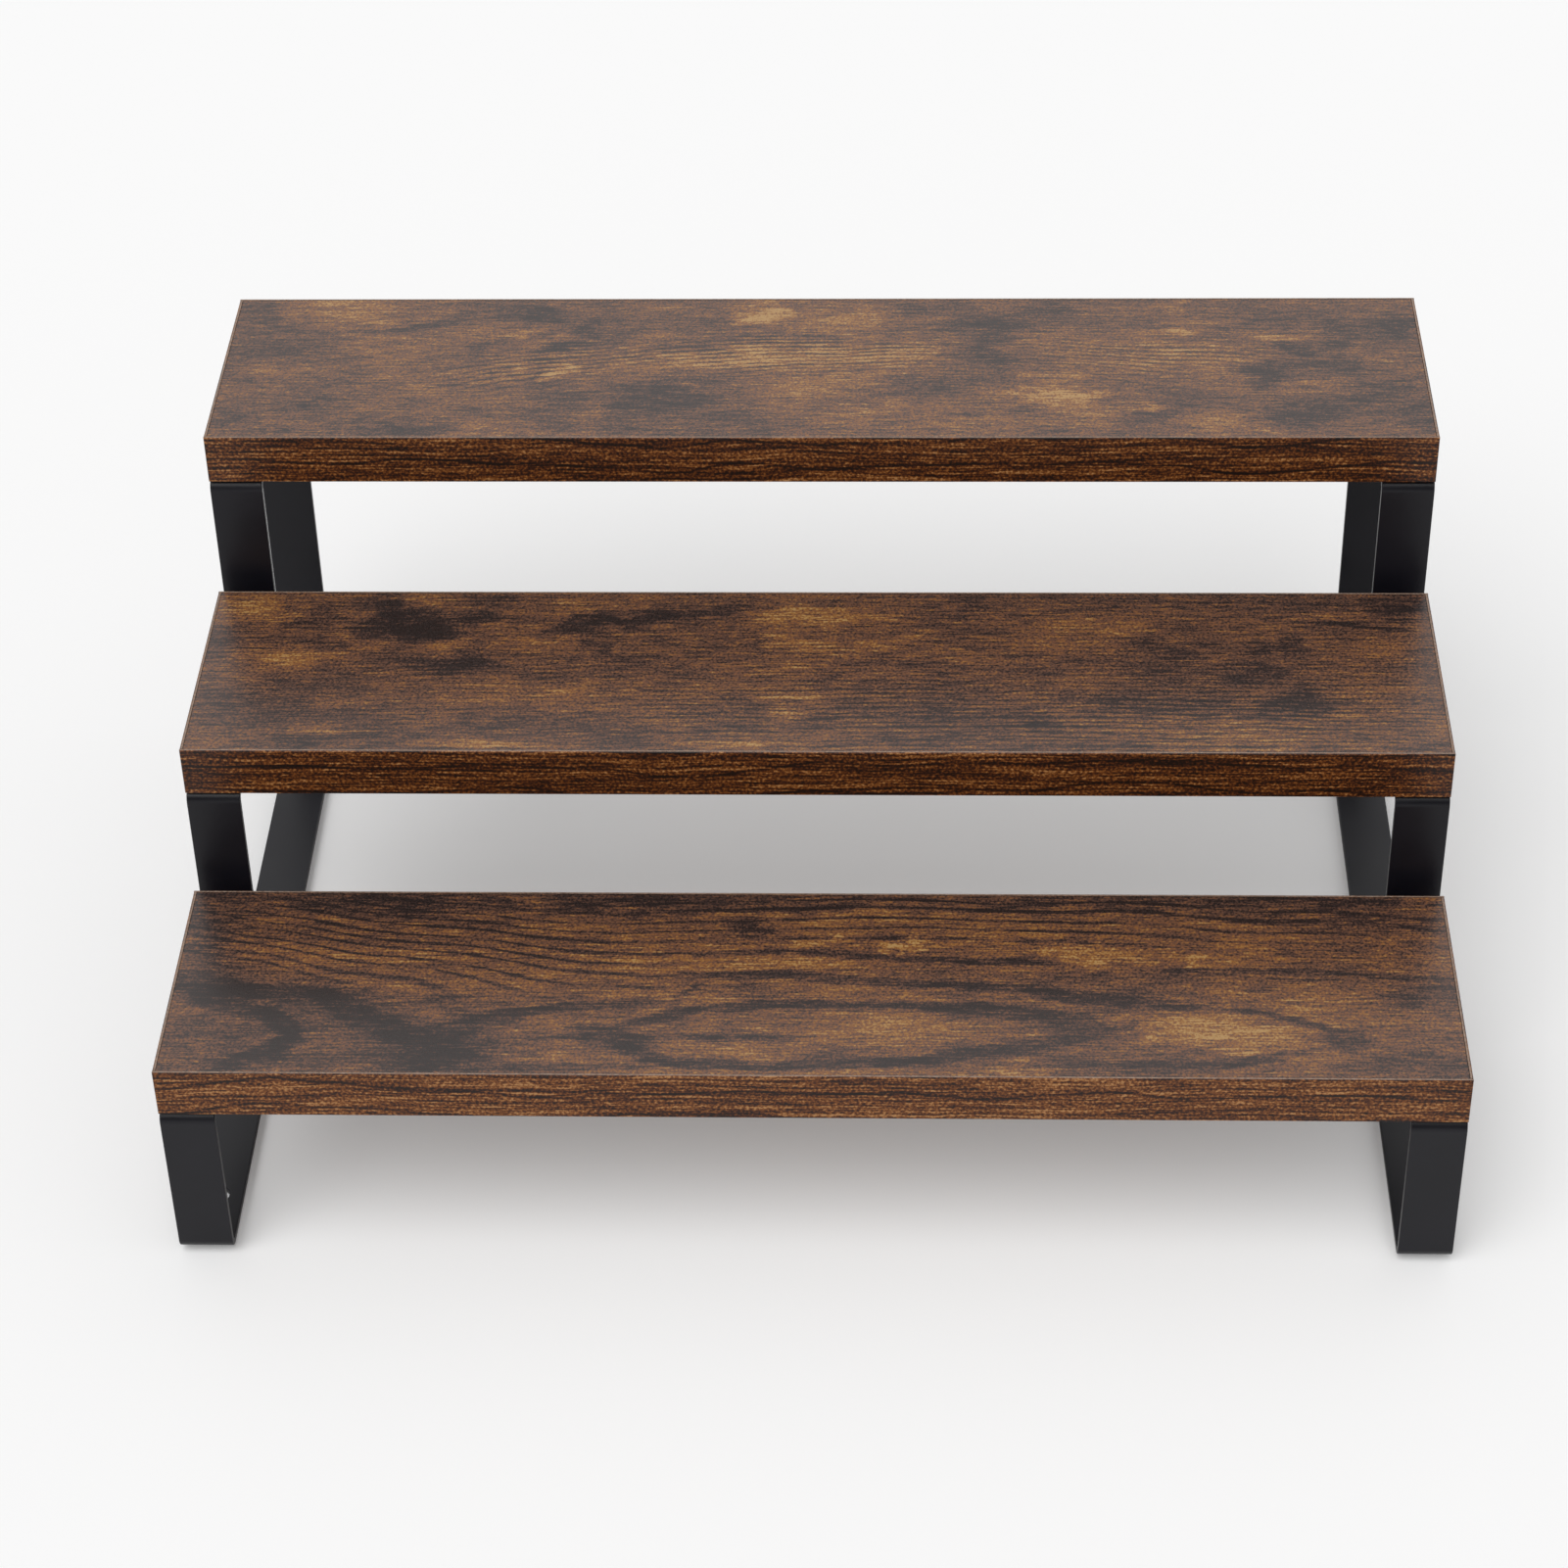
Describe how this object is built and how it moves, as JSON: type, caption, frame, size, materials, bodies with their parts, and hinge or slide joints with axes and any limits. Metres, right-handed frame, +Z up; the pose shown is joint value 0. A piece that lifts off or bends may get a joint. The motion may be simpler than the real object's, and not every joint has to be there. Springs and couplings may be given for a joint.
{
  "type": "display riser stand",
  "caption": "Stepped counter riser: flat wood-print boards on bent black steel strip side frames, for showing small goods at rising heights.",
  "frame": {"origin": "on the counter, under the middle of the stand", "axes": "+X along the boards to the right as seen from the front, +Y from the lowest step to the highest, +Z up"},
  "size_m": [0.35, 0.24, 0.1618],
  "materials": {
    "wood_laminate": "satin melamine with a dark rustic wood print",
    "edge_band": "satin straight-grained wood print",
    "particle_board": "raw pressed chips",
    "powder_coated_steel": "matte black powder coat",
    "zinc_screw": "bright zinc plate",
    "rubber_pad": "matte"
  },
  "bodies": {
    "root": {"lower_board_core": "particle_board", "lower_board_top_laminate": "wood_laminate", "lower_board_bottom_laminate": "wood_laminate", "lower_board_front_edge_band": "edge_band", "lower_board_back_edge_band": "edge_band", "lower_board_left_edge_band": "edge_band", "lower_board_right_edge_band": "edge_band", "middle_board_core": "particle_board", "middle_board_top_laminate": "wood_laminate", "middle_board_bottom_laminate": "wood_laminate", "middle_board_front_edge_band": "edge_band", "middle_board_back_edge_band": "edge_band", "middle_board_left_edge_band": "edge_band", "middle_board_right_edge_band": "edge_band", "upper_board_core": "particle_board", "upper_board_top_laminate": "wood_laminate", "upper_board_bottom_laminate": "wood_laminate", "upper_board_front_edge_band": "edge_band", "upper_board_back_edge_band": "edge_band", "upper_board_left_edge_band": "edge_band", "upper_board_right_edge_band": "edge_band", "left_side_frame": "powder_coated_steel", "right_side_frame": "powder_coated_steel", "lower_left_front_screw": "zinc_screw", "lower_left_back_screw": "zinc_screw", "lower_right_front_screw": "zinc_screw", "lower_right_back_screw": "zinc_screw", "middle_left_front_screw": "zinc_screw", "middle_left_back_screw": "zinc_screw", "middle_right_front_screw": "zinc_screw", "middle_right_back_screw": "zinc_screw", "upper_left_front_screw": "zinc_screw", "upper_left_back_screw": "zinc_screw", "upper_right_front_screw": "zinc_screw", "upper_right_back_screw": "zinc_screw", "front_left_foot_pad": "rubber_pad", "front_right_foot_pad": "rubber_pad", "back_left_foot_pad": "rubber_pad", "back_right_foot_pad": "rubber_pad"}
  },
  "joints": []
}
